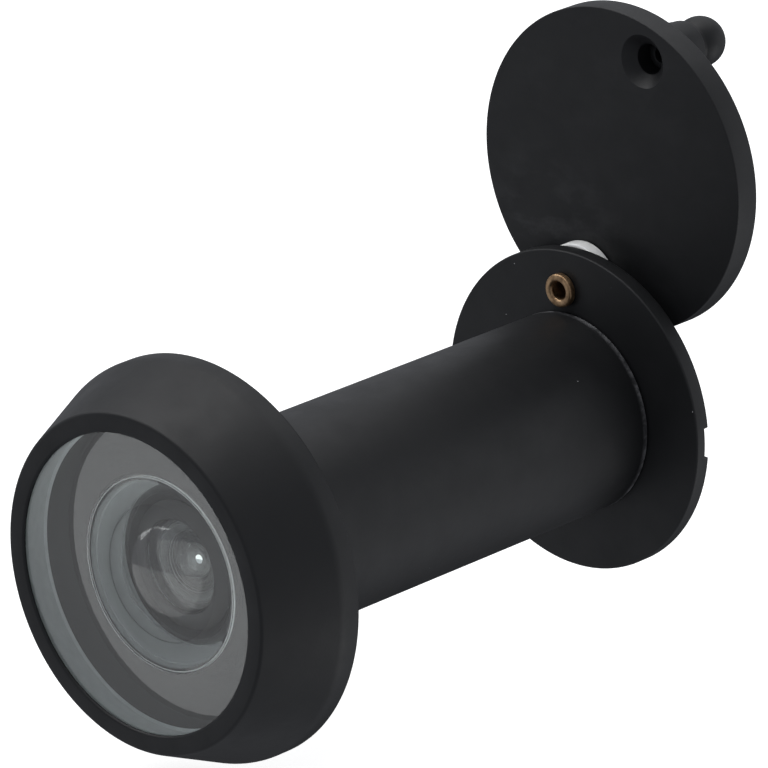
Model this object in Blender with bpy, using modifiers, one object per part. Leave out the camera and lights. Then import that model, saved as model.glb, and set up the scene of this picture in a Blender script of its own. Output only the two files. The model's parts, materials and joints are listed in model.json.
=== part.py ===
"""Door viewer for a 14 mm door hole, with a swinging privacy cover.

Two barrels screw together through the door. The outer one carries the flange
with the wide-angle lens group, and the inner one carries the eyepiece, the
slotted flange and the cover that swings on a hollow rivet.

Frame: metres, +Z up. The barrel's axis is Y, and +Y points into the room. The
origin is on that axis, in the plane where the outer flange sits on the door.
"""

import math

import bmesh
import bpy

MM = 0.001

# Driving dimensions, in millimetres, along the axis (Y) and as radii.
BARREL_R = 7.0              # fits a 14 mm hole
THINNEST_DOOR = 35.2        # flange to flange, screwed fully in
FIT_GAP = 0.12              # clearance between neighbouring pieces

# Outer flange and its lens pocket.
FLANGE_R = 13.6
FLANGE_DEPTH = 6.7
FLANGE_BAND = 1.5           # straight band next to the door
RIM_R = 11.3
APERTURE_R = 10.1
LIP_THICKNESS = 0.2
POCKET_R = 10.65
POCKET_FLOOR_Y = -1.45

# Bores of the outer barrel.
OBJECTIVE_BORE_R = 6.15
STOP_R = 4.9                # shoulder behind the third lens
STOP_START_Y = 8.4
STOP_END_Y = 9.85
SCREW_BORE_R = 6.1
BARREL_END_GAP = 0.15
BARREL_CHAMFER = 0.15

# Front lens: flat outside, with a deep hollow whose edge stands up as a thin lip.
FRONT_LENS_R = 10.5
FRONT_LENS_THICKNESS = 4.2
FRONT_HOLLOW_R = 6.45
FRONT_HOLLOW_SPHERE = 8.32
FRONT_COLLAR_R = 6.6
FRONT_COLLAR_HEIGHT = 0.25

# Seal under the front lens.
SEAL_BORE_R = 6.75

# Second and third lens, with the ring and the spacer that hold them.
SMALL_LENS_R = 6.0
RETAINER_THICKNESS = 0.7
RETAINER_BORE_R = 4.35
SECOND_LENS_Y = 0.75        # its flat front
SECOND_LENS_THICKNESS = 3.2
SECOND_HOLLOW_R = 4.2
SECOND_HOLLOW_SPHERE = 5.2
SPACER_LENGTH = 1.3
SPACER_BORE_R = 4.6
THIRD_LENS_THICKNESS = 2.6
THIRD_HOLLOW_R = 3.9
THIRD_HOLLOW_SPHERE = 5.5

# Inner barrel with its flange.
SCREW_R = 5.9
SCREW_LENGTH = 24.2
INNER_BORE_R = 4.9
REAR_FLANGE_R = 11.3
REAR_FLANGE_THICKNESS = 1.25
REAR_APERTURE_R = 4.2
LENS_LIP_Y = 35.05
FLANGE_EDGE = 0.2
COIN_SLOT_WIDTH = 2.2
COIN_SLOT_DEPTH = 0.5
COIN_SLOT_TURN = 4.3        # degrees past square to the pivot
BAFFLE_START_Y = 11.4
BAFFLE_LENGTH = 1.0
BAFFLE_BORE_R = 3.4

# Eyepiece.
EYEPIECE_R = 4.75
EYEPIECE_EDGE_Y = (33.4, 34.6)
EYEPIECE_SPHERE = 10.0
EYEPIECE_RING_Y = (31.9, 32.85)
EYEPIECE_RING_BORE_R = 4.0
EYEPIECE_RING_SLOT = 0.8

# Cover, its rivet and its knob.
PIVOT_Z = 8.58              # the closed cover is concentric with the flange
COVER_OPEN_ANGLE = 19.2     # degrees from straight up, towards +X
COVER_R = 11.35
COVER_FRONT_Y = 37.62
COVER_THICKNESS = 1.98
COVER_EDGE = 0.2
RIVET_SHANK_R = 0.92
RIVET_FLARE_R = 1.17
RIVET_FLARE_LENGTH = 0.5
RIVET_HOLLOW_R = 0.62
RIVET_HOLLOW_DEPTH = 3.0
RIVET_HOLE_R = 1.06
RIVET_HEAD_R = 2.3
RIVET_HEAD_HEIGHT = 0.9
PIVOT_WASHER_R = 2.85
SPRING_WASHER_R = 2.0
SPRING_WASHER_THICKNESS = 0.3
KNOB_OFFSET = 8.78          # from the cover's centre
KNOB_TURN = 5.0             # degrees off the line through pivot and centre
KNOB_BALL_R = 1.74
KNOB_BALL_HEIGHT = 3.87     # ball centre above the cover's outer face
KNOB_WAIST_R = 1.45         # between the ball and its collar
KNOB_COLLAR_R = 1.8
KNOB_FOOT_R = 2.0
KNOB_COLLAR_HEIGHT = 2.4
KNOB_TENON_R = 0.95
KNOB_HOLE_R = 1.07
KNOB_COUNTERSINK_R = 1.85
KNOB_COUNTERSINK_DEPTH = 0.76
KNOB_TENON_RECESS = 1.85    # tenon's end below the cover's inner face
KNOB_HOLLOW_R = 0.5

# Segments round the turned shapes.
COARSE = 24
MEDIUM = 32
FINE = 48
SHARP_ANGLE = math.radians(32)
MERGE = 0.000001

# Colours: base colour, roughness, metallic, transmission.
FINISHES = {
    "black_paint": ((0.012, 0.012, 0.013), 0.45, 0.0, 0.0),
    "optical_glass": ((0.92, 0.97, 0.95), 0.02, 0.0, 1.0),
    "black_anodised": ((0.01, 0.01, 0.01), 0.6, 0.6, 0.0),
    "black_rubber": ((0.015, 0.015, 0.015), 0.8, 0.0, 0.0),
    "brass": ((0.55, 0.36, 0.16), 0.35, 1.0, 0.0),
    "white_nylon": ((0.85, 0.85, 0.82), 0.4, 0.0, 0.0),
    "spring_steel": ((0.6, 0.6, 0.6), 0.3, 1.0, 0.0),
}


def clear_scene():
    """Remove every object, so that the model stands alone."""
    for obj in list(bpy.data.objects):
        bpy.data.objects.remove(obj, do_unlink=True)


def make_collection(name):
    """A new collection under the scene's own."""
    collection = bpy.data.collections.new(name)
    bpy.context.scene.collection.children.link(collection)
    return collection


def make_material(name):
    """A Principled material from the table of finishes."""
    colour, roughness, metallic, transmission = FINISHES[name]
    material = bpy.data.materials.new(name)
    material.use_nodes = True
    shader = material.node_tree.nodes["Principled BSDF"]
    shader.inputs["Base Color"].default_value = (*colour, 1.0)
    shader.inputs["Roughness"].default_value = roughness
    shader.inputs["Metallic"].default_value = metallic
    shader.inputs["Transmission Weight"].default_value = transmission
    return material


def cap(sphere_r, from_r, to_r, steps):
    """Points of a spherical cap as (height below the pole, radius)."""
    points = []
    for i in range(steps + 1):
        radius = from_r + (to_r - from_r) * i / steps
        drop = sphere_r - math.sqrt(sphere_r ** 2 - radius ** 2)
        points.append((drop, radius))
    return points


def turned(name, profile, steps, closed=True):
    """Turn a profile of (y, radius) points, outer side first, about the Y axis.

    The outer side runs from the room to the street. The profile is a closed
    loop for a ring, or runs from axis to axis for a solid piece.
    """
    mesh = bpy.data.meshes.new(name)
    vertices = [(radius * MM, 0.0, along * MM) for along, radius in profile]
    edges = [(i, i + 1) for i in range(len(vertices) - 1)]
    if closed:
        edges.append((len(vertices) - 1, 0))
    mesh.from_pydata(vertices, edges, [])
    obj = bpy.data.objects.new(name, mesh)
    screw = obj.modifiers.new("turn", 'SCREW')
    screw.axis = 'Z'
    screw.angle = math.tau
    screw.steps = steps
    screw.render_steps = steps
    screw.use_merge_vertices = True
    screw.merge_threshold = MERGE
    obj.rotation_euler = (-math.pi / 2, 0.0, 0.0)
    return obj


def cylinder_cutter(name, radius, start_y, end_y, steps, top_radius=None):
    """A cylinder or cone along Y, for cutting holes."""
    mesh = bpy.data.meshes.new(name)
    shape = bmesh.new()
    bmesh.ops.create_cone(
        shape, cap_ends=True, segments=steps, radius1=radius * MM,
        radius2=(radius if top_radius is None else top_radius) * MM,
        depth=(end_y - start_y) * MM)
    shape.to_mesh(mesh)
    shape.free()
    obj = bpy.data.objects.new(name, mesh)
    obj.rotation_euler = (-math.pi / 2, 0.0, 0.0)
    obj.location.y = (start_y + end_y) / 2 * MM
    return obj


def box_cutter(name, size, centre, turn=0.0):
    """A box given by its size and centre, turned about Y."""
    mesh = bpy.data.meshes.new(name)
    shape = bmesh.new()
    bmesh.ops.create_cube(shape, size=1.0)
    bmesh.ops.scale(shape, vec=[side * MM for side in size], verts=shape.verts)
    shape.to_mesh(mesh)
    shape.free()
    obj = bpy.data.objects.new(name, mesh)
    obj.location = [value * MM for value in centre]
    obj.rotation_euler = (0.0, math.radians(turn), 0.0)
    return obj


class Viewer:
    """Collects the pieces, the cutters and the two moving frames."""

    def __init__(self):
        self.parts = make_collection("door_viewer")
        self.cutters = make_collection("cutters")
        self.materials = {name: make_material(name) for name in FINISHES}
        self.barrel_axis = self.empty("rear_barrel_axis", (0.0, THINNEST_DOOR, 0.0), None)
        pivot = (0.0, COVER_FRONT_Y - THINNEST_DOOR, PIVOT_Z)
        self.cover_axis = self.empty("cover_axis", pivot, self.barrel_axis)
        self.cover_axis.rotation_euler = (0.0, math.radians(COVER_OPEN_ANGLE), 0.0)

    def empty(self, name, place, parent):
        """A moving piece's frame, on its joint's axis."""
        obj = bpy.data.objects.new(name, None)
        obj.empty_display_size = 5 * MM
        obj.location = [value * MM for value in place]
        obj.parent = parent
        self.parts.objects.link(obj)
        return obj

    def add(self, obj, finish, cutters=(), parent=None, shift=(0.0, 0.0, 0.0)):
        """Finish a piece: cuts, material, smooth shading and its parent frame."""
        self.parts.objects.link(obj)
        for cutter in cutters:
            self.cutters.objects.link(cutter)
            cutter.hide_render = True
            cutter.display_type = 'WIRE'
            cut = obj.modifiers.new(cutter.name, 'BOOLEAN')
            cut.operation = 'DIFFERENCE'
            cut.solver = 'EXACT'
            cut.object = cutter
        bpy.context.view_layer.update()
        depsgraph = bpy.context.evaluated_depsgraph_get()
        mesh = bpy.data.meshes.new_from_object(obj.evaluated_get(depsgraph))
        obj.modifiers.clear()
        obj.data = mesh
        mesh.name = obj.name
        mesh.materials.clear()
        mesh.materials.append(self.materials[finish])
        mesh.shade_smooth()
        mesh.set_sharp_from_angle(angle=SHARP_ANGLE)
        obj.location = [value * MM for value in shift]
        obj.parent = parent
        return obj


def front_housing(viewer):
    """Outer barrel and flange in one turned piece, with the rolled lip."""
    end = THINNEST_DOOR - BARREL_END_GAP
    lip_back = -FLANGE_DEPTH + LIP_THICKNESS
    band = -FLANGE_BAND
    profile = [
        (end, BARREL_R - BARREL_CHAMFER),
        (end - BARREL_CHAMFER, BARREL_R),
        (0.0, BARREL_R),
        (0.0, FLANGE_R - 0.25),
        (-0.25, FLANGE_R),
        (band, FLANGE_R),
        (band - 0.5, FLANGE_R - 0.1),
        (band - 1.0, FLANGE_R - 0.33),
        (-FLANGE_DEPTH + 0.35, RIM_R + 0.12),
        (-FLANGE_DEPTH + 0.1, RIM_R - 0.08),
        (-FLANGE_DEPTH, RIM_R - 0.3),
        (-FLANGE_DEPTH, APERTURE_R + 0.25),
        (-FLANGE_DEPTH + 0.12, APERTURE_R),
        (lip_back, APERTURE_R),
        (lip_back, POCKET_R),
        (POCKET_FLOOR_Y, POCKET_R),
        (POCKET_FLOOR_Y, OBJECTIVE_BORE_R),
        (STOP_START_Y, OBJECTIVE_BORE_R),
        (STOP_START_Y, STOP_R),
        (STOP_END_Y, STOP_R),
        (STOP_END_Y, SCREW_BORE_R),
        (end - 0.3, SCREW_BORE_R),
        (end, SCREW_BORE_R + 0.2),
    ]
    viewer.add(turned("front_housing", profile, FINE), "black_paint")


def hollow_lens(name, front_y, thickness, radius, hollow_r, sphere_r, chamfer, steps,
                collar=()):
    """A flat-fronted lens with a spherical hollow behind, perhaps inside a collar."""
    back_y = front_y + thickness
    rim_y = back_y
    if collar:
        rim_y = collar[0][0]
    rim_drop = cap(sphere_r, 0.0, hollow_r, 1)[-1][0]
    profile = [(rim_y - rim_drop + drop, r) for drop, r in cap(sphere_r, 0.0, hollow_r, 5)]
    profile += collar
    profile += [
        (back_y, radius - chamfer),
        (back_y - chamfer, radius),
        (front_y + chamfer, radius),
        (front_y, radius - chamfer),
        (front_y, 0.0),
    ]
    return turned(name, profile, steps, closed=False)


def ring(name, start_y, end_y, inner_r, outer_r, steps):
    """A plain ring from start_y to end_y."""
    profile = [(end_y, outer_r), (start_y, outer_r), (start_y, inner_r), (end_y, inner_r)]
    return turned(name, profile, steps)


def front_optics(viewer):
    """The three hollow lenses and the pieces that locate them."""
    lens_y = -FLANGE_DEPTH + LIP_THICKNESS + FIT_GAP / 2
    lens_back = lens_y + FRONT_LENS_THICKNESS
    collar = [
        (lens_back + FRONT_COLLAR_HEIGHT, FRONT_COLLAR_R),
        (lens_back, FRONT_COLLAR_R),
    ]
    lens = hollow_lens("front_lens", lens_y, FRONT_LENS_THICKNESS, FRONT_LENS_R,
                       FRONT_HOLLOW_R, FRONT_HOLLOW_SPHERE, 0.3, FINE, collar)
    viewer.add(lens, "optical_glass")

    seal = ring("front_lens_seal", lens_back + FIT_GAP / 2, POCKET_FLOOR_Y - FIT_GAP / 2,
                SEAL_BORE_R, FRONT_LENS_R, FINE)
    viewer.add(seal, "black_rubber")

    retainer_end = SECOND_LENS_Y - FIT_GAP
    retainer_start = retainer_end - RETAINER_THICKNESS
    retainer = ring("lens_retaining_ring", retainer_start, retainer_end,
                    RETAINER_BORE_R, SMALL_LENS_R, MEDIUM)
    viewer.add(retainer, "black_anodised")

    lens = hollow_lens("second_lens", SECOND_LENS_Y, SECOND_LENS_THICKNESS, SMALL_LENS_R,
                       SECOND_HOLLOW_R, SECOND_HOLLOW_SPHERE, 0.2, MEDIUM)
    viewer.add(lens, "optical_glass")

    spacer_y = SECOND_LENS_Y + SECOND_LENS_THICKNESS + FIT_GAP
    spacer = ring("lens_spacer", spacer_y, spacer_y + SPACER_LENGTH, SPACER_BORE_R,
                  SMALL_LENS_R, MEDIUM)
    viewer.add(spacer, "black_anodised")

    third_y = spacer_y + SPACER_LENGTH + FIT_GAP
    lens = hollow_lens("third_lens", third_y, THIRD_LENS_THICKNESS - FIT_GAP, SMALL_LENS_R,
                       THIRD_HOLLOW_R, THIRD_HOLLOW_SPHERE, 0.2, MEDIUM)
    viewer.add(lens, "optical_glass")


def rear_barrel(viewer):
    """Inner barrel with the slotted flange, screwed into the outer barrel."""
    start = THINNEST_DOOR - SCREW_LENGTH
    back = THINNEST_DOOR + REAR_FLANGE_THICKNESS
    profile = [
        (back, REAR_FLANGE_R - FLANGE_EDGE),
        (back - FLANGE_EDGE, REAR_FLANGE_R),
        (THINNEST_DOOR + FLANGE_EDGE, REAR_FLANGE_R),
        (THINNEST_DOOR, REAR_FLANGE_R - FLANGE_EDGE),
        (THINNEST_DOOR, SCREW_R),
        (start + 0.4, SCREW_R),
        (start, SCREW_R - 0.4),
        (start, INNER_BORE_R),
        (LENS_LIP_Y, INNER_BORE_R),
        (LENS_LIP_Y, REAR_APERTURE_R),
        (back - 0.25, REAR_APERTURE_R),
        (back, REAR_APERTURE_R + 0.25),
    ]
    slot = box_cutter("coin_slot", (30.0, 2 * COIN_SLOT_DEPTH, COIN_SLOT_WIDTH),
                      (0.0, back, 0.0), COIN_SLOT_TURN)
    hole = cylinder_cutter("flange_rivet_hole", RIVET_HOLE_R, 34.0, 38.0, COARSE)
    hole.location.z = PIVOT_Z * MM
    barrel = turned("rear_barrel", profile, FINE)
    viewer.add(barrel, "black_paint", [slot, hole], viewer.barrel_axis,
               (0.0, -THINNEST_DOOR, 0.0))

    baffle = ring("light_baffle", BAFFLE_START_Y, BAFFLE_START_Y + BAFFLE_LENGTH,
                  BAFFLE_BORE_R, EYEPIECE_R, MEDIUM)
    viewer.add(baffle, "black_anodised", (), viewer.barrel_axis, (0.0, -THINNEST_DOOR, 0.0))


def eyepiece(viewer):
    """The convex eyepiece lens and the ring that holds it against the lip."""
    front_edge, rear_edge = EYEPIECE_EDGE_Y
    arc = cap(EYEPIECE_SPHERE, 0.0, EYEPIECE_R, 5)
    rise = arc[-1][0]
    profile = [(rear_edge + rise - drop, radius) for drop, radius in arc]
    profile += [(front_edge - rise + drop, radius) for drop, radius in reversed(arc)]
    lens = turned("eyepiece_lens", profile, MEDIUM, closed=False)
    viewer.add(lens, "optical_glass", (), viewer.barrel_axis, (0.0, -THINNEST_DOOR, 0.0))

    start, end = EYEPIECE_RING_Y
    lock = ring("eyepiece_retaining_ring", start, end, EYEPIECE_RING_BORE_R, EYEPIECE_R, MEDIUM)
    slot = box_cutter("eyepiece_spanner_slot", (20.0, 0.8, EYEPIECE_RING_SLOT), (0.0, start, 0.0))
    viewer.add(lock, "black_anodised", [slot], viewer.barrel_axis, (0.0, -THINNEST_DOOR, 0.0))


def pivot_stack(viewer):
    """The hollow rivet and the two washers on it."""
    cover_back = COVER_FRONT_Y + COVER_THICKNESS
    flange_back = THINNEST_DOOR + REAR_FLANGE_THICKNESS
    seat = (0.0, -THINNEST_DOOR, PIVOT_Z)

    washer = ring("pivot_washer", flange_back + FIT_GAP / 2, COVER_FRONT_Y - FIT_GAP / 2,
                  RIVET_HOLE_R, PIVOT_WASHER_R, COARSE)
    viewer.add(washer, "white_nylon", (), viewer.barrel_axis, seat)

    spring_y = cover_back + FIT_GAP / 2
    washer = ring("spring_washer", spring_y, spring_y + SPRING_WASHER_THICKNESS,
                  RIVET_HOLE_R, SPRING_WASHER_R, COARSE)
    viewer.add(washer, "spring_steel", (), viewer.barrel_axis, seat)

    head_y = spring_y + SPRING_WASHER_THICKNESS + FIT_GAP / 2
    flare_end = THINNEST_DOOR - FIT_GAP / 2
    flare_start = flare_end - RIVET_FLARE_LENGTH
    profile = []
    for i in range(6):
        angle = math.pi / 2 * i / 5
        height = RIVET_HEAD_HEIGHT * math.cos(angle)
        profile.append((head_y + height, RIVET_HEAD_R * math.sin(angle)))
    profile += [
        (head_y, RIVET_SHANK_R),
        (flare_end, RIVET_SHANK_R),
        (flare_end, RIVET_FLARE_R),
        (flare_start + 0.15, RIVET_FLARE_R),
        (flare_start, RIVET_FLARE_R - 0.15),
        (flare_start, RIVET_HOLLOW_R + 0.1),
        (flare_start + 0.1, RIVET_HOLLOW_R),
        (flare_start + RIVET_HOLLOW_DEPTH, RIVET_HOLLOW_R),
        (flare_start + RIVET_HOLLOW_DEPTH, 0.0),
    ]
    rivet = turned("pivot_rivet", profile, COARSE, closed=False)
    viewer.add(rivet, "brass", (), viewer.barrel_axis, seat)


def cover(viewer):
    """The round cover and its knob, on the rivet's axis."""
    knob_x = KNOB_OFFSET * math.sin(math.radians(KNOB_TURN))
    knob_z = PIVOT_Z + KNOB_OFFSET * math.cos(math.radians(KNOB_TURN))

    profile = [
        (COVER_THICKNESS, 0.0),
        (COVER_THICKNESS, COVER_R - COVER_EDGE),
        (COVER_THICKNESS - COVER_EDGE, COVER_R),
        (COVER_EDGE, COVER_R),
        (0.0, COVER_R - COVER_EDGE),
        (0.0, 0.0),
    ]
    disc = turned("swing_cover", profile, FINE, closed=False)
    rivet_hole = cylinder_cutter("cover_rivet_hole", RIVET_HOLE_R, -1.0, 3.0, COARSE)
    rivet_hole.location.z = -PIVOT_Z * MM
    knob_hole = cylinder_cutter("knob_hole", KNOB_HOLE_R, 0.4, 3.0, COARSE)
    overshoot = 0.5
    slope = (KNOB_COUNTERSINK_R - KNOB_HOLE_R) / KNOB_COUNTERSINK_DEPTH
    sink = cylinder_cutter("knob_countersink", KNOB_COUNTERSINK_R + overshoot * slope,
                           -overshoot, KNOB_COUNTERSINK_DEPTH, COARSE, KNOB_HOLE_R)
    for cutter in (knob_hole, sink):
        cutter.location.x = knob_x * MM
        cutter.location.z = (knob_z - PIVOT_Z) * MM
    viewer.add(disc, "black_paint", [rivet_hole, knob_hole, sink], viewer.cover_axis,
               (0.0, 0.0, PIVOT_Z))

    ball_y = COVER_THICKNESS + KNOB_BALL_HEIGHT
    waist_angle = math.asin(KNOB_WAIST_R / KNOB_BALL_R)
    foot_y = COVER_THICKNESS + FIT_GAP / 2
    profile = []
    ball_steps = 8
    for i in range(ball_steps + 1):
        angle = (math.pi - waist_angle) * i / ball_steps
        profile.append((ball_y + KNOB_BALL_R * math.cos(angle), KNOB_BALL_R * math.sin(angle)))
    profile += [
        (foot_y + KNOB_COLLAR_HEIGHT, KNOB_WAIST_R),
        (foot_y + KNOB_COLLAR_HEIGHT, KNOB_COLLAR_R - 0.15),
        (foot_y + KNOB_COLLAR_HEIGHT - 0.15, KNOB_COLLAR_R),
        (foot_y, KNOB_FOOT_R),
        (foot_y, KNOB_TENON_R),
        (KNOB_TENON_RECESS, KNOB_TENON_R),
        (KNOB_TENON_RECESS, KNOB_HOLLOW_R),
        (KNOB_TENON_RECESS + 1.2, KNOB_HOLLOW_R),
        (KNOB_TENON_RECESS + 1.2, 0.0),
    ]
    knob = turned("cover_knob", profile, COARSE, closed=False)
    viewer.add(knob, "black_paint", (), viewer.cover_axis, (knob_x, 0.0, knob_z))


def main():
    clear_scene()
    viewer = Viewer()
    front_housing(viewer)
    front_optics(viewer)
    rear_barrel(viewer)
    eyepiece(viewer)
    pivot_stack(viewer)
    cover(viewer)


main()
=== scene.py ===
"""Looks of the door viewer: fine meshes, materials, light and camera round the CAD frame."""

import json
import math

import bmesh
import bpy
from mathutils import Matrix, Vector


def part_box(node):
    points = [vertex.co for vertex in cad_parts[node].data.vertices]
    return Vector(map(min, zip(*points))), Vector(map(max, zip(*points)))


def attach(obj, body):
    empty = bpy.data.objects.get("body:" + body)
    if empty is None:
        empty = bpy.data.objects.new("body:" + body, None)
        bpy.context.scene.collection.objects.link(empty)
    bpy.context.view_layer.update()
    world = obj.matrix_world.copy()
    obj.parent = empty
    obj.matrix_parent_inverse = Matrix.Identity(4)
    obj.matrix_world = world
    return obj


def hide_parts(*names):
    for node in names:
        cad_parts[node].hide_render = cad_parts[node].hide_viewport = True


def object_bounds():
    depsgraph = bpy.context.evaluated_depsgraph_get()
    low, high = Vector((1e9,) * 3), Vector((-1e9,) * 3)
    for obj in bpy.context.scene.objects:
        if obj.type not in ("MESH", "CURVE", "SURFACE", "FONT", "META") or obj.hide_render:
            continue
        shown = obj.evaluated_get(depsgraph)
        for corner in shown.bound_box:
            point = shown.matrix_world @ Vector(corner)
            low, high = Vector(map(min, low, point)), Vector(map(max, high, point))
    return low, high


MM = 0.001

# Camera: aim, distance and lens in millimetres, turns in degrees.
AIM = (0.0, 17.35, 6.8)
AZIMUTH = 44.87
ELEVATION = 17.1
ROLL = -4.62
DISTANCE = 437.7
LENS = 311.3
SENSOR = 36.0

# World: its strength, and the direction towards its dark side.
SURROUNDINGS = 0.50
DARK_SIDE = (-0.50, 0.72, -0.48)

# Radii and thicknesses in millimetres that a node's box can't give.
APERTURE_R = 10.1
LIP_THICKNESS = 0.2
POCKET_R = 10.65
BAND = 1.5
RIM_R = 11.42
POCKET_FLOOR_Y = -1.45
OBJECTIVE_BORE_R = 6.15
SEAL_BORE_R = 6.75
RETAINER_BORE_R = 4.35
SPACER_BORE_R = 4.6
STOP_R = 4.9
STOP_Y = (8.4, 9.85)
SCREW_BORE_R = 6.1
INNER_BORE_R = 4.9
REAR_APERTURE_R = 4.2
LENS_LIP_Y = 35.05
BAFFLE_BORE_R = 3.4
EYEPIECE_RING_BORE_R = 4.0
EYEPIECE_RING_SLOT = (0.8, 0.4)
THREAD_DEPTH = 0.45
THREAD_RELIEF = 1.2
THREAD_RUNOUT = 1.6
THREAD_ROWS = 12
COIN_SLOT = (2.2, 0.5, 4.3)
RIVET_HOLE_R = 1.06
RIVET_SHANK_R = 0.92
RIVET_FLARE_R = 1.17
RIVET_HOLLOW_R = 0.62
RIVET_HOLLOW_DEPTH = 3.0
KNOB_BALL_R = 1.74
KNOB_WAIST_R = 1.45
KNOB_COLLAR_R = 1.8
KNOB_COLLAR_HEIGHT = 2.4
KNOB_FOOT_R = 2.0
KNOB_TENON_R = 0.95
KNOB_HOLE_R = 1.07
KNOB_HOLLOW_R = 0.5
KNOB_HOLLOW_DEPTH = 1.2
COUNTERSINK_R = 1.85
COUNTERSINK_DEPTH = 0.76

# Hollows behind the three front lenses: rim radius and sphere radius. LIP_R is the
# outside of the thin lip round the front lens's hollow.
HOLLOWS = {
    "front_lens": (6.45, 8.32),
    "second_lens": (4.2, 5.2),
    "third_lens": (3.9, 5.5),
}
LIP_R = 6.6
EYEPIECE_SPHERE = 10.0
GAP = 0.06

ROUND = 192
SMALL_ROUND = 96
SHARP = math.radians(35)


# ---------------------------------------------------------------- frame

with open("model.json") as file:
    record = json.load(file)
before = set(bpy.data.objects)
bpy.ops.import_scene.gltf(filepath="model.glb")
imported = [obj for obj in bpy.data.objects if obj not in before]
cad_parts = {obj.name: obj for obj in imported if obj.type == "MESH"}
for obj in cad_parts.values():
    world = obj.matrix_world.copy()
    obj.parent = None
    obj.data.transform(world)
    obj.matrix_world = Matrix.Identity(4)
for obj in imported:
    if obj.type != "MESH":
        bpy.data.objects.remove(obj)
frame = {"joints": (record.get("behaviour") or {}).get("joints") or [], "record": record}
cad_low, cad_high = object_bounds()
JOINTS = {joint["name"]: joint for joint in frame["joints"]}
BARREL_R = frame["record"]["mounts"][0]["dims"]["r_mm"]
PITCH = frame["record"]["behaviour"]["couplings"][0]["ratio"] * math.tau / MM


def span(node):
    """A node's first and last place along the barrel, in millimetres."""
    low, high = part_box(node)
    return low.y / MM, high.y / MM


def reach(node):
    """A round node's radius, in millimetres."""
    low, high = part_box(node)
    return (high.x - low.x) / 2 / MM


def middle(node):
    """A node's centre across the barrel, as (x, z) in millimetres."""
    low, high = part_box(node)
    return (low.x + high.x) / 2 / MM, (low.z + high.z) / 2 / MM


# ---------------------------------------------------------------- meshes

def fillet(previous, corner, following, radius, steps):
    """Arc points that round the corner between its two neighbours."""
    here = Vector(corner)
    before = (Vector(previous) - here).normalized()
    after = (Vector(following) - here).normalized()
    half = before.angle(after) / 2
    if radius <= 0.0 or half > math.radians(88):
        return [tuple(corner)]
    cut = radius / math.tan(half)
    centre = here + (before + after).normalized() * (radius / math.sin(half))
    start = here + before * cut - centre
    end = here + after * cut - centre
    turn = start.angle_signed(end)
    points = []
    for i in range(steps + 1):
        angle = -turn * i / steps
        spoke = Matrix.Rotation(angle, 2) @ start
        points.append(tuple(centre + spoke))
    return points


def outline(corners, steps=5, closed=True):
    """A profile from (y, radius, rounding) corners, with arcs at the rounded ones."""
    points = []
    count = len(corners)
    for i, (along, radius, rounding) in enumerate(corners):
        ends = not closed and i in (0, count - 1)
        if rounding <= 0.0 or ends:
            points.append((along, radius))
            continue
        previous = corners[i - 1][:2]
        following = corners[(i + 1) % count][:2]
        points += fillet(previous, (along, radius), following, rounding, steps)
    return points


def arc(sphere_r, to_r, steps):
    """A spherical cap as (drop from its pole, radius), from the pole outwards."""
    points = []
    for i in range(steps + 1):
        radius = to_r * i / steps
        points.append((sphere_r - math.sqrt(sphere_r ** 2 - radius ** 2), radius))
    return points


def lathe(name, profile, steps=ROUND, closed=True, centre=(0.0, 0.0)):
    """Turn (y, radius) points about an axis along Y through centre (x, z)."""
    mesh = bmesh.new()
    rings = []
    for along, radius in profile:
        if radius < 1e-6:
            pole = mesh.verts.new((centre[0] * MM, along * MM, centre[1] * MM))
            rings.append([pole] * steps)
            continue
        ring = []
        for i in range(steps):
            angle = math.tau * i / steps
            place = (centre[0] + radius * math.sin(angle), along,
                     centre[1] + radius * math.cos(angle))
            ring.append(mesh.verts.new([value * MM for value in place]))
        rings.append(ring)
    last = len(rings) if closed else len(rings) - 1
    for k in range(last):
        first, second = rings[k], rings[(k + 1) % len(rings)]
        for i in range(steps):
            j = (i + 1) % steps
            corners = [first[i], first[j], second[j], second[i]]
            face = list(dict.fromkeys(corners))
            if len(face) > 2:
                mesh.faces.new(face)
    bmesh.ops.recalc_face_normals(mesh, faces=mesh.faces)
    return to_object(name, mesh)


def to_object(name, mesh):
    """A scene object from a bmesh."""
    data = bpy.data.meshes.new(name)
    mesh.to_mesh(data)
    mesh.free()
    obj = bpy.data.objects.new(name, data)
    bpy.context.scene.collection.objects.link(obj)
    return obj


def box(name, size, centre, turn=0.0):
    """A cutter box, in millimetres, turned about Y by degrees."""
    mesh = bmesh.new()
    bmesh.ops.create_cube(mesh, size=1.0)
    bmesh.ops.scale(mesh, vec=[side * MM for side in size], verts=mesh.verts)
    spin = Matrix.Rotation(math.radians(turn), 3, 'Y')
    bmesh.ops.rotate(mesh, cent=(0.0, 0.0, 0.0), matrix=spin, verts=mesh.verts)
    bmesh.ops.translate(mesh, vec=[value * MM for value in centre], verts=mesh.verts)
    return to_object(name, mesh)


def cut(obj, cutters):
    """Cut the shapes out of obj, and remove them."""
    for cutter in cutters:
        step = obj.modifiers.new(cutter.name, 'BOOLEAN')
        step.operation = 'DIFFERENCE'
        step.solver = 'EXACT'
        step.object = cutter
    bpy.context.view_layer.update()
    depsgraph = bpy.context.evaluated_depsgraph_get()
    mesh = bpy.data.meshes.new_from_object(obj.evaluated_get(depsgraph))
    obj.modifiers.clear()
    obj.data = mesh
    for cutter in cutters:
        bpy.data.objects.remove(cutter, do_unlink=True)


def place(obj, body, nodes, material, slot):
    """Shade a piece smooth, and hand it to its CAD body."""
    obj.data.shade_smooth()
    obj.data.set_sharp_from_angle(angle=SHARP)
    obj.data.materials.clear()
    obj.data.materials.append(material)
    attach(obj, body)
    if nodes:
        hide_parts(*nodes)
    return obj


# ---------------------------------------------------------------- materials

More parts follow.
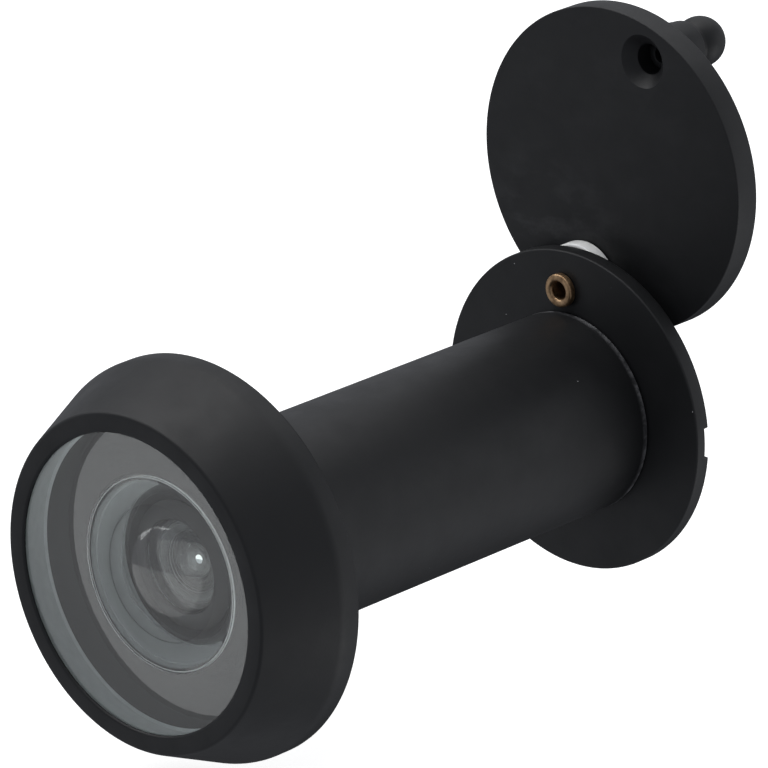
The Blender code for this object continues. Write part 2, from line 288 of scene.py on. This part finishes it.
class Nodes:
    """A short way to write a material's nodes."""

    def __init__(self, name):
        self.material = bpy.data.materials.new(name)
        self.material.use_nodes = True
        self.tree = self.material.node_tree
        self.shader = self.tree.nodes["Principled BSDF"]
        coordinates = self.add("ShaderNodeTexCoord")
        self.place = coordinates.outputs["Object"]

    def add(self, kind, **settings):
        node = self.tree.nodes.new(kind)
        for key, value in settings.items():
            setattr(node, key, value)
        return node

    def link(self, source, target):
        self.tree.links.new(source, target)

    def feed(self, socket, value):
        if isinstance(value, (int, float, tuple)):
            socket.default_value = value
        else:
            self.link(value, socket)

    def noise(self, scale, detail=3.0, roughness=0.5, stretch=None):
        """Noise from 0 to 1 with a given number of features a metre."""
        node = self.add("ShaderNodeTexNoise")
        node.inputs["Scale"].default_value = scale
        node.inputs["Detail"].default_value = detail
        node.inputs["Roughness"].default_value = roughness
        if stretch is None:
            self.link(self.place, node.inputs["Vector"])
        else:
            mapping = self.add("ShaderNodeMapping")
            mapping.inputs["Rotation"].default_value = stretch[0]
            mapping.inputs["Scale"].default_value = stretch[1]
            self.link(self.place, mapping.inputs["Vector"])
            self.link(mapping.outputs["Vector"], node.inputs["Vector"])
        return node.outputs["Fac"]

    def ramp(self, value, low, high, to_low=0.0, to_high=1.0):
        """Map a value from one range to another, clamped."""
        node = self.add("ShaderNodeMapRange")
        node.inputs["From Min"].default_value = low
        node.inputs["From Max"].default_value = high
        node.inputs["To Min"].default_value = to_low
        node.inputs["To Max"].default_value = to_high
        self.link(value, node.inputs["Value"])
        return node.outputs["Result"]

    def maths(self, operation, first, second=0.0):
        node = self.add("ShaderNodeMath", operation=operation)
        self.feed(node.inputs[0], first)
        self.feed(node.inputs[1], second)
        return node.outputs["Value"]

    def mix(self, factor, first, second):
        node = self.add("ShaderNodeMix", data_type='RGBA')
        self.feed(node.inputs["Factor"], factor)
        self.feed(node.inputs[6], first)
        self.feed(node.inputs[7], second)
        return node.outputs[2]

    def bump(self, height, strength, distance, normal=None):
        node = self.add("ShaderNodeBump")
        node.inputs["Strength"].default_value = strength
        node.inputs["Distance"].default_value = distance
        self.link(height, node.inputs["Height"])
        if normal is not None:
            self.link(normal, node.inputs["Normal"])
        return node.outputs["Normal"]

    def axis(self, letter):
        """One of the object's coordinates, in metres."""
        split = self.add("ShaderNodeSeparateXYZ")
        self.link(self.place, split.inputs["Vector"])
        return split.outputs[letter]

    def distance(self, x, z):
        """Distance in metres from an axis along Y through (x, z) millimetres."""
        across = self.maths('SUBTRACT', self.axis("X"), x * MM)
        upward = self.maths('SUBTRACT', self.axis("Z"), z * MM)
        squares = self.maths('ADD', self.maths('MULTIPLY', across, across),
                             self.maths('MULTIPLY', upward, upward))
        return self.maths('SQRT', squares)

    def specks(self, spacing, size, share):
        """Tiny specks: a share of cells that are spacing wide hold one each."""
        node = self.add("ShaderNodeTexVoronoi", feature='F1')
        node.inputs["Scale"].default_value = 1.0 / spacing
        self.link(self.place, node.inputs["Vector"])
        near = self.ramp(node.outputs["Distance"], 0.5 * size / spacing, size / spacing, 1.0, 0.0)
        split = self.add("ShaderNodeSeparateColor")
        self.link(node.outputs["Color"], split.inputs["Color"])
        chosen = self.maths('LESS_THAN', split.outputs["Red"], share)
        return self.maths('MULTIPLY', near, chosen)


def black_paint(name, smudges=(), highlight_and_chips_y=None):
    """Satin black paint: fine orange peel, uneven sheen and a few pale dust specks.

    smudges are greasy marks round a centre (x, z) out to a radius, all in
    millimetres. The last argument is the place of an edge that gets a painted
    highlight: a pale line all round it, paler still where the paint is chipped.
    """
    n = Nodes(name)
    tone = n.noise(260.0, 4.0)
    colour = n.mix(tone, (0.0065, 0.0068, 0.0075, 1.0), (0.0100, 0.0103, 0.0110, 1.0))
    dust = n.maths('MAXIMUM', n.specks(0.0036, 0.00007, 0.14), n.specks(0.0011, 0.00004, 0.05))
    colour = n.mix(dust, colour, (0.60, 0.60, 0.61, 1.0))
    rough = n.ramp(n.noise(420.0, 5.0, 0.6), 0.3, 0.7, 0.45, 0.55)
    if smudges:
        centre_x, centre_z, far = smudges
        near = n.ramp(n.distance(centre_x, centre_z), 1.8 * MM, far * MM, 1.0, 0.12)
        cloud = n.ramp(n.noise(260.0, 5.0, 0.65, ((0.3, 0.0, 0.5), (1.0, 1.0, 2.0))),
                       0.50, 0.68)
        marks = n.maths('MULTIPLY', near, cloud)
        rough = n.maths('SUBTRACT', rough, n.maths('MULTIPLY', marks, 0.10))
        colour = n.mix(n.maths('MULTIPLY', marks, 0.55), colour, (0.034, 0.034, 0.036, 1.0))
    if highlight_and_chips_y is not None:
        # Painted highlight along the edge: a pale line all round, brighter where the paint is
        # chipped.
        along = n.axis("Y")
        edge = n.ramp(along, (highlight_and_chips_y - 0.50) * MM, (highlight_and_chips_y - 0.20) * MM)
        chip_and_highlight_mask = n.ramp(n.noise(1300.0, 4.0, 0.7), 0.42, 0.60, 0.25, 1.0)
        edge_highlight_and_chips = n.maths('MULTIPLY', edge, chip_and_highlight_mask)
        colour = n.mix(edge_highlight_and_chips, colour, (0.13, 0.13, 0.135, 1.0))
    n.link(colour, n.shader.inputs["Base Color"])
    n.link(rough, n.shader.inputs["Roughness"])
    n.shader.inputs["Specular IOR Level"].default_value = 0.26
    peel = n.bump(n.noise(5200.0, 2.0), 0.10, 0.00004)
    n.link(n.bump(n.noise(900.0, 3.0), 0.10, 0.00008, peel), n.shader.inputs["Normal"])
    return n.material


def blackened(name):
    """Matt blackened metal of the inner rings."""
    n = Nodes(name)
    tone = n.noise(900.0, 4.0)
    n.link(n.mix(tone, (0.010, 0.010, 0.011, 1.0), (0.028, 0.028, 0.029, 1.0)),
           n.shader.inputs["Base Color"])
    n.link(n.ramp(n.noise(1500.0), 0.3, 0.7, 0.45, 0.62), n.shader.inputs["Roughness"])
    turning = n.noise(2500.0, 2.0, 0.5, ((0.0, 0.0, 0.0), (0.1, 1.0, 0.1)))
    n.link(n.bump(turning, 0.15, 0.00003), n.shader.inputs["Normal"])
    return n.material


def rubber(name):
    """Dull black rubber of the seal."""
    n = Nodes(name)
    n.link(n.mix(n.noise(1400.0), (0.006, 0.006, 0.006, 1.0), (0.014, 0.014, 0.014, 1.0)),
           n.shader.inputs["Base Color"])
    n.shader.inputs["Roughness"].default_value = 0.85
    n.link(n.bump(n.noise(4000.0), 0.3, 0.00004), n.shader.inputs["Normal"])
    return n.material


def glass(name):
    """Polished optical glass with a faint, slightly uneven green tint."""
    n = Nodes(name)
    n.link(n.mix(n.noise(300.0), (0.95, 0.985, 0.975, 1.0), (0.97, 0.99, 0.985, 1.0)),
           n.shader.inputs["Base Color"])
    n.shader.inputs["Roughness"].default_value = 0.0
    n.shader.inputs["IOR"].default_value = 1.52
    n.shader.inputs["Transmission Weight"].default_value = 1.0
    return n.material


def ground_glass(name, dark, pale):
    """A ground edge of the glass, frosted."""
    n = Nodes(name)
    n.link(n.mix(n.noise(1200.0), (*dark, 1.0), (*pale, 1.0)), n.shader.inputs["Base Color"])
    n.shader.inputs["Roughness"].default_value = 0.75
    n.link(n.bump(n.noise(6000.0), 0.4, 0.00003), n.shader.inputs["Normal"])
    return n.material


def brass(name):
    """Bare brass, dulled and browned where it was rolled over."""
    n = Nodes(name)
    stain = n.ramp(n.noise(1500.0, 4.0, 0.6), 0.35, 0.7)
    n.link(n.mix(stain, (0.46, 0.31, 0.18, 1.0), (0.15, 0.088, 0.048, 1.0)),
           n.shader.inputs["Base Color"])
    n.shader.inputs["Metallic"].default_value = 1.0
    n.link(n.ramp(n.noise(2600.0), 0.3, 0.7, 0.34, 0.55), n.shader.inputs["Roughness"])
    n.link(n.bump(n.noise(3000.0), 0.35, 0.00005), n.shader.inputs["Normal"])
    return n.material


def nylon(name):
    """Smooth white nylon."""
    n = Nodes(name)
    n.link(n.mix(n.noise(900.0), (0.76, 0.76, 0.74, 1.0), (0.84, 0.84, 0.82, 1.0)),
           n.shader.inputs["Base Color"])
    n.shader.inputs["Roughness"].default_value = 0.22
    n.link(n.bump(n.noise(2500.0), 0.1, 0.00003), n.shader.inputs["Normal"])
    return n.material


def steel(name):
    """Bright spring steel."""
    n = Nodes(name)
    n.link(n.mix(n.noise(1600.0), (0.48, 0.48, 0.49, 1.0), (0.66, 0.66, 0.67, 1.0)),
           n.shader.inputs["Base Color"])
    n.shader.inputs["Metallic"].default_value = 1.0
    n.link(n.ramp(n.noise(2200.0), 0.3, 0.7, 0.24, 0.36), n.shader.inputs["Roughness"])
    return n.material


# ---------------------------------------------------------------- pieces

def housing(paint):
    """Outer barrel and flange: rolled lip, cone, soft shoulder, band and chamfered end."""
    front, end = span("front_housing")
    flange_r = reach("front_housing")
    lip = front + LIP_THICKNESS
    corners = [
        (end, BARREL_R, 0.1),
        (0.0, BARREL_R, 0.12),
        (0.0, flange_r, 0.22),
        (-BAND, flange_r, 1.6),
        (front, RIM_R, 0.28),
        (front, APERTURE_R, 0.2),
        (lip, APERTURE_R, 0.06),
        (lip, POCKET_R, 0.0),
        (POCKET_FLOOR_Y, POCKET_R, 0.1),
        (POCKET_FLOOR_Y, OBJECTIVE_BORE_R, 0.1),
        (STOP_Y[0], OBJECTIVE_BORE_R, 0.1),
        (STOP_Y[0], STOP_R, 0.08),
        (STOP_Y[1], STOP_R, 0.08),
        (STOP_Y[1], SCREW_BORE_R, 0.1),
        (end - 0.3, SCREW_BORE_R, 0.0),
        (end, SCREW_BORE_R + 0.25, 0.08),
    ]
    obj = lathe("outer_barrel_shell", outline(corners))
    place(obj, "outer_barrel", ["front_housing"], paint, "black_paint")


def edge_finish(obj, clear, edge, is_edge):
    """Two finishes: polished faces, and another one where is_edge says so."""
    obj.data.materials.clear()
    obj.data.materials.append(clear)
    obj.data.materials.append(edge)
    for face in obj.data.polygons:
        outward = math.hypot(face.normal.x, face.normal.z)
        radius = math.hypot(face.center.x, face.center.z) / MM
        face.material_index = 1 if is_edge(radius, outward) else 0


def hollow_lens(node, name, clear, edge):
    """A small lens with a flat front, a spherical hollow and a pale ground edge."""
    front, back = span(node)
    radius = reach(node)
    hollow_r, sphere_r = HOLLOWS[node]
    cap = arc(sphere_r, hollow_r, 24)
    depth = cap[-1][0]
    bevel = 0.2
    profile = [(back - depth + drop, r) for drop, r in cap]
    profile += [
        (back, radius - bevel),
        (back - bevel, radius),
        (front + bevel, radius),
        (front, radius - bevel),
        (front, 0.0),
    ]
    obj = lathe(name, profile, closed=False)
    place(obj, "outer_barrel", [node], clear, "optical_glass")
    edge_finish(obj, clear, edge, lambda r, outward: r > radius - 0.4 and outward > 0.5)


def front_lens(clear, ground, rim):
    """The thick front lens: deep hollow with a thin lip, ground edge, pale rim line."""
    front, back = span("front_lens")
    radius = reach("front_lens")
    shoulder = span("front_lens_seal")[0] - GAP
    hollow_r, sphere_r = HOLLOWS["front_lens"]
    cap = arc(sphere_r, hollow_r, 40)
    depth = cap[-1][0]
    chamfer = 0.1
    profile = [(back - chamfer - depth + drop, r) for drop, r in cap]
    profile += [
        (back, hollow_r + chamfer),
        (back, LIP_R),
        (shoulder, LIP_R),
        (shoulder, radius - 0.2),
        (shoulder - 0.2, radius),
        (front + 0.1, radius),
        (front, radius - 0.1),
        (front, 0.0),
    ]
    obj = lathe("front_lens_glass", profile, closed=False)
    place(obj, "outer_barrel", ["front_lens"], clear, "optical_glass")
    edge_finish(obj, clear, ground, lambda r, outward: r > radius - 0.3 and outward > 0.5)
    obj.data.materials.append(rim)
    for face in obj.data.polygons:
        distance = math.hypot(face.center.x, face.center.z) / MM
        if hollow_r < distance < hollow_r + chamfer:
            face.material_index = 2


def plain_ring(node, name, inner_r, body, material, slot, rounding=0.08, notch=None):
    """A ring in a node's place, with softened edges and perhaps spanner notches."""
    start, end = span(node)
    outer_r = reach(node)
    corners = [
        (end, outer_r, rounding),
        (start, outer_r, rounding),
        (start, inner_r, rounding),
        (end, inner_r, rounding),
    ]
    obj = lathe(name, outline(corners, 3), SMALL_ROUND, centre=middle(node))
    if notch:
        width, depth, at = notch
        cut(obj, [box("notch", (4 * outer_r, 2 * depth, width), (0.0, at, 0.0))])
    return place(obj, body, [node], material, slot)


def thread_height(phase):
    """Height of a screw thread, 0 at its root and 1 at its crest, over one pitch."""
    wave = abs(2.0 * (phase % 1.0) - 1.0)
    return min(1.0, max(0.0, (wave - 0.12) / 0.76))


def inner_barrel(paint):
    """Inner barrel: right-hand thread, flange, coin slot, lens lip and rivet hole."""
    start, back = span("rear_barrel")
    flange_r = reach("rear_barrel")
    flange_y = JOINTS["barrel_screw"]["pos_m"][1] / MM
    root_r = SCREW_BORE_R - 0.2 - THREAD_DEPTH
    thread_end = flange_y - THREAD_RELIEF
    length = thread_end - start
    corners = [
        (back, REAR_APERTURE_R + 0.25, 0.0),
        (back, flange_r, 0.22),
        (flange_y, flange_r, 0.14),
        (flange_y, root_r, 0.2),
    ]
    rows = int(length / PITCH * THREAD_ROWS)
    corners += [(thread_end - length * i / rows, root_r, 0.0) for i in range(rows + 1)]
    corners += [
        (start, INNER_BORE_R, 0.0),
        (LENS_LIP_Y, INNER_BORE_R, 0.0),
        (LENS_LIP_Y, REAR_APERTURE_R, 0.0),
        (back - 0.25, REAR_APERTURE_R, 0.0),
    ]
    obj = lathe("inner_barrel_shell", outline(corners))
    for vertex in obj.data.vertices:
        along = vertex.co.y / MM
        radius = math.hypot(vertex.co.x, vertex.co.z) / MM
        if along > thread_end - 0.01 or radius < root_r - 0.1:
            continue
        turn = math.atan2(vertex.co.x, vertex.co.z) / math.tau
        fade = max(0.0, min(1.0, (thread_end - along) / THREAD_RUNOUT, (along - start) / 0.8))
        lift = thread_height(along / PITCH - turn) * THREAD_DEPTH * fade
        stretch = (radius + lift) / radius
        vertex.co.x *= stretch
        vertex.co.z *= stretch
    pivot = JOINTS["cover_swing"]["pos_m"]
    width, depth, turn = COIN_SLOT
    slot = box("slot", (4 * flange_r, 2 * depth, width), (0.0, back, 0.0), turn)
    hole = lathe("hole", [(back + 1.0, 0.0), (back + 1.0, RIVET_HOLE_R),
                          (flange_y - 1.0, RIVET_HOLE_R), (flange_y - 1.0, 0.0)],
                 SMALL_ROUND, closed=False, centre=(0.0, pivot[2] / MM))
    cut(obj, [slot, hole])
    place(obj, "inner_barrel", ["rear_barrel"], paint, "black_paint")


def eyepiece(clear, edge):
    """The convex lens one looks through."""
    front, back = span("eyepiece_lens")
    radius = reach("eyepiece_lens")
    cap = arc(EYEPIECE_SPHERE, radius, 20)
    profile = [(back - drop, r) for drop, r in cap]
    profile += [(front + drop, r) for drop, r in reversed(cap)]
    obj = lathe("eyepiece_glass", profile, closed=False)
    place(obj, "eyepiece", ["eyepiece_lens"], clear, "optical_glass")
    edge_finish(obj, clear, edge, lambda r, outward: r > radius - 0.3 and outward > 0.9)


def rivet(metal, paint):
    """Hollow rivet: rolled end on the flange, shank, and a low painted head."""
    start, end = span("pivot_rivet")
    centre = middle("pivot_rivet")
    head_y = span("spring_washer")[1] + GAP
    flange_y = JOINTS["barrel_screw"]["pos_m"][1] / MM
    head_r = reach("pivot_rivet")
    head = end - head_y
    profile = []
    for i in range(17):
        angle = math.pi / 2 * i / 16
        profile.append((head_y + head * math.cos(angle), head_r * math.sin(angle)))
    flare_end = flange_y - GAP
    corners = [
        (head_y, head_r, 0.0),
        (head_y, RIVET_SHANK_R, 0.08),
        (flare_end, RIVET_SHANK_R, 0.03),
        (flare_end, RIVET_FLARE_R, 0.05),
        (start, RIVET_FLARE_R, 0.14),
        (start, RIVET_HOLLOW_R, 0.22),
        (start + RIVET_HOLLOW_DEPTH, RIVET_HOLLOW_R, 0.1),
        (start + RIVET_HOLLOW_DEPTH, 0.0, 0.0),
    ]
    profile += outline(corners, 4, closed=False)[1:]
    obj = lathe("pivot_rivet_shell", profile, SMALL_ROUND, closed=False, centre=centre)
    place(obj, "inner_barrel", ["pivot_rivet"], metal, "bare_brass")
    obj.data.materials.append(paint)
    for face in obj.data.polygons:
        if face.center.y / MM > head_y - 0.02:
            face.material_index = 1


def cover(paint):
    """Round cover with softened rim, rivet hole and the knob's countersunk hole."""
    front, back = span("swing_cover")
    centre = middle("swing_cover")
    radius = reach("swing_cover")
    corners = [
        (back, 0.0, 0.0),
        (back, radius, 0.2),
        (front, radius, 0.1),
        (front, 0.0, 0.0),
    ]
    obj = lathe("cover_disc", outline(corners, 6, closed=False), closed=False, centre=centre)
    pivot = JOINTS["cover_swing"]["pos_m"]
    knob_at = middle("cover_knob")
    hole = lathe("hole", [(back + 1.0, 0.0), (back + 1.0, RIVET_HOLE_R),
                          (front - 1.0, RIVET_HOLE_R), (front - 1.0, 0.0)],
                 SMALL_ROUND, closed=False, centre=(0.0, pivot[2] / MM))
    slope = (COUNTERSINK_R - KNOB_HOLE_R) / COUNTERSINK_DEPTH
    sink = lathe("sink", [(back + 1.0, 0.0), (back + 1.0, KNOB_HOLE_R),
                          (front + COUNTERSINK_DEPTH, KNOB_HOLE_R),
                          (front - 0.5, COUNTERSINK_R + 0.5 * slope), (front - 0.5, 0.0)],
                 SMALL_ROUND, closed=False, centre=knob_at)
    cut(obj, [hole, sink])
    place(obj, "cover", ["swing_cover"], paint, "black_paint")


def knob(paint):
    """Ball knob on a collar, with the drilled tenon in the cover's hole."""
    start, end = span("cover_knob")
    centre = middle("cover_knob")
    foot_y = span("swing_cover")[1] + GAP
    collar_y = foot_y + KNOB_COLLAR_HEIGHT
    ball_y = end - KNOB_BALL_R
    waist = math.asin(KNOB_WAIST_R / KNOB_BALL_R)
    profile = []
    for i in range(33):
        angle = (math.pi - waist) * i / 32
        profile.append((ball_y + KNOB_BALL_R * math.cos(angle), KNOB_BALL_R * math.sin(angle)))
    corners = [
        profile[-1] + (0.0,),
        (collar_y, KNOB_WAIST_R, 0.15),
        (collar_y, KNOB_COLLAR_R, 0.2),
        (foot_y, KNOB_FOOT_R, 0.08),
        (foot_y, KNOB_TENON_R, 0.0),
        (start, KNOB_TENON_R, 0.08),
        (start, KNOB_HOLLOW_R, 0.1),
        (start + KNOB_HOLLOW_DEPTH, KNOB_HOLLOW_R, 0.0),
        (start + KNOB_HOLLOW_DEPTH, 0.0, 0.0),
    ]
    profile += outline(corners, 5, closed=False)[1:]
    obj = lathe("cover_knob_shell", profile, SMALL_ROUND, closed=False, centre=centre)
    place(obj, "cover", ["cover_knob"], paint, "black_paint")


def build():
    pivot_z = JOINTS["cover_swing"]["pos_m"][2] / MM
    paint = black_paint("satin_black_paint")
    # The housing's paint gets a painted highlight line, with chipped paint, at the barrel's end.
    housing_paint = black_paint("satin_black_paint_housing", (), span("front_housing")[1])
    cover_paint = black_paint("satin_black_paint_cover", (-3.0, pivot_z + 1.5, 8.0))
    inner = blackened("blackened_metal")
    clear = glass("polished_glass")
    ground = ground_glass("ground_glass", (0.42, 0.46, 0.46), (0.54, 0.58, 0.58))
    rim = ground_glass("ground_rim", (0.74, 0.78, 0.78), (0.86, 0.88, 0.88))

    housing(housing_paint)
    front_lens(clear, ground, rim)
    plain_ring("front_lens_seal", "front_lens_seal_ring", SEAL_BORE_R, "outer_barrel",
               rubber("seal_rubber"), "black_rubber", 0.05)
    plain_ring("lens_retaining_ring", "lens_retainer", RETAINER_BORE_R, "outer_barrel", inner,
               "blackened_ring")
    hollow_lens("second_lens", "second_lens_glass", clear, rim)
    plain_ring("lens_spacer", "lens_spacer_ring", SPACER_BORE_R, "outer_barrel", inner,
               "blackened_ring")
    hollow_lens("third_lens", "third_lens_glass", clear, rim)
    inner_barrel(paint)
    plain_ring("light_baffle", "light_baffle_ring", BAFFLE_BORE_R, "inner_barrel", inner,
               "blackened_ring")
    eyepiece(clear, inner)
    lock_front = span("eyepiece_retaining_ring")[0]
    plain_ring("eyepiece_retaining_ring", "eyepiece_lock_ring", EYEPIECE_RING_BORE_R,
               "eyepiece", inner, "blackened_ring", notch=(*EYEPIECE_RING_SLOT, lock_front))
    plain_ring("pivot_washer", "pivot_washer_ring", RIVET_HOLE_R, "inner_barrel",
               nylon("white_nylon"), "white_nylon", 0.15)
    plain_ring("spring_washer", "spring_washer_ring", RIVET_HOLE_R, "inner_barrel",
               steel("spring_steel"), "spring_steel", 0.05)
    rivet(brass("dull_brass"), paint)
    cover(cover_paint)
    knob(paint)


# ---------------------------------------------------------------- stage

def add_camera():
    """Camera at the object's aim point, turned by azimuth, elevation and roll."""
    azimuth, elevation = math.radians(AZIMUTH), math.radians(ELEVATION)
    back = Vector((math.sin(azimuth) * math.cos(elevation),
                   -math.cos(azimuth) * math.cos(elevation), math.sin(elevation)))
    level = Vector((math.cos(azimuth), math.sin(azimuth), 0.0))
    right = Matrix.Rotation(math.radians(ROLL), 3, back) @ level
    up = back.cross(right)
    data = bpy.data.cameras.new("camera")
    data.lens = LENS
    data.sensor_width = SENSOR
    data.clip_start = 0.01
    data.clip_end = 20.0
    camera = bpy.data.objects.new("camera", data)
    turn = Matrix((right, up, back)).transposed().to_4x4()
    where = Vector(AIM) * MM + back * DISTANCE * MM
    camera.matrix_world = Matrix.Translation(where) @ turn
    bpy.context.scene.collection.objects.link(camera)
    bpy.context.scene.camera = camera


def add_floor():
    """A wide pale floor under the flange."""
    mesh = bmesh.new()
    bmesh.ops.create_grid(mesh, x_segments=1, y_segments=1, size=6.0)
    floor = to_object("floor", mesh)
    floor.location.z = cad_low.z - 0.001
    n = Nodes("pale_floor")
    n.link(n.mix(n.noise(4.0), (0.44, 0.44, 0.44, 1.0), (0.46, 0.46, 0.46, 1.0)),
           n.shader.inputs["Base Color"])
    n.shader.inputs["Roughness"].default_value = 0.9
    n.shader.inputs["Emission Color"].default_value = (1.0, 1.0, 1.0, 1.0)
    n.shader.inputs["Emission Strength"].default_value = 0.85
    floor.data.materials.append(n.material)
    floor.visible_glossy = False
    floor.visible_diffuse = False
    floor.visible_shadow = False


def add_light(name, where, size, power):
    """A square soft box aimed at the object."""
    data = bpy.data.lights.new(name, 'AREA')
    data.shape = 'RECTANGLE'
    data.size, data.size_y = size
    data.energy = power
    light = bpy.data.objects.new(name, data)
    light.location = where
    aim = Vector(AIM) * MM - Vector(where)
    light.rotation_euler = aim.to_track_quat('-Z', 'Y').to_euler()
    bpy.context.scene.collection.objects.link(light)


def add_world():
    """Dim, even surroundings, darker behind and below on the left."""
    world = bpy.data.worlds.new("studio")
    world.use_nodes = True
    tree = world.node_tree
    background = tree.nodes["Background"]
    background.inputs["Color"].default_value = (0.9, 0.93, 1.0, 1.0)
    direction = tree.nodes.new("ShaderNodeTexCoord").outputs["Generated"]
    toward = tree.nodes.new("ShaderNodeVectorMath")
    toward.operation = 'DOT_PRODUCT'
    toward.inputs[1].default_value = DARK_SIDE
    shade = tree.nodes.new("ShaderNodeMapRange")
    shade.inputs["From Min"].default_value = 0.80
    shade.inputs["From Max"].default_value = 0.94
    shade.inputs["To Min"].default_value = SURROUNDINGS
    shade.inputs["To Max"].default_value = 0.02
    tree.links.new(direction, toward.inputs[0])
    tree.links.new(toward.outputs["Value"], shade.inputs["Value"])
    tree.links.new(shade.outputs["Result"], background.inputs["Strength"])
    bpy.context.scene.world = world


def add_stage():
    add_camera()
    add_floor()
    add_world()
    bpy.context.scene.view_settings.view_transform = 'Standard'
    add_light("top_box", (-0.10, 0.30, 0.9), (1.2, 1.2), 4.7)
    add_light("low_card", (-0.60, -0.62, -0.25), (0.3, 0.3), 0.13)
    add_light("under_card", (0.78, 0.40, -0.60), (0.7, 0.7), 2.7)
    add_light("back_card", (0.65, 0.68, 0.10), (0.6, 0.6), 0.65)
    add_light("key_left", (-0.60, -0.18, 0.68), (0.4, 0.4), 2.1)
    add_light("key_top", (-0.12, -0.10, 0.94), (0.4, 0.4), 2.0)


build()
add_stage()
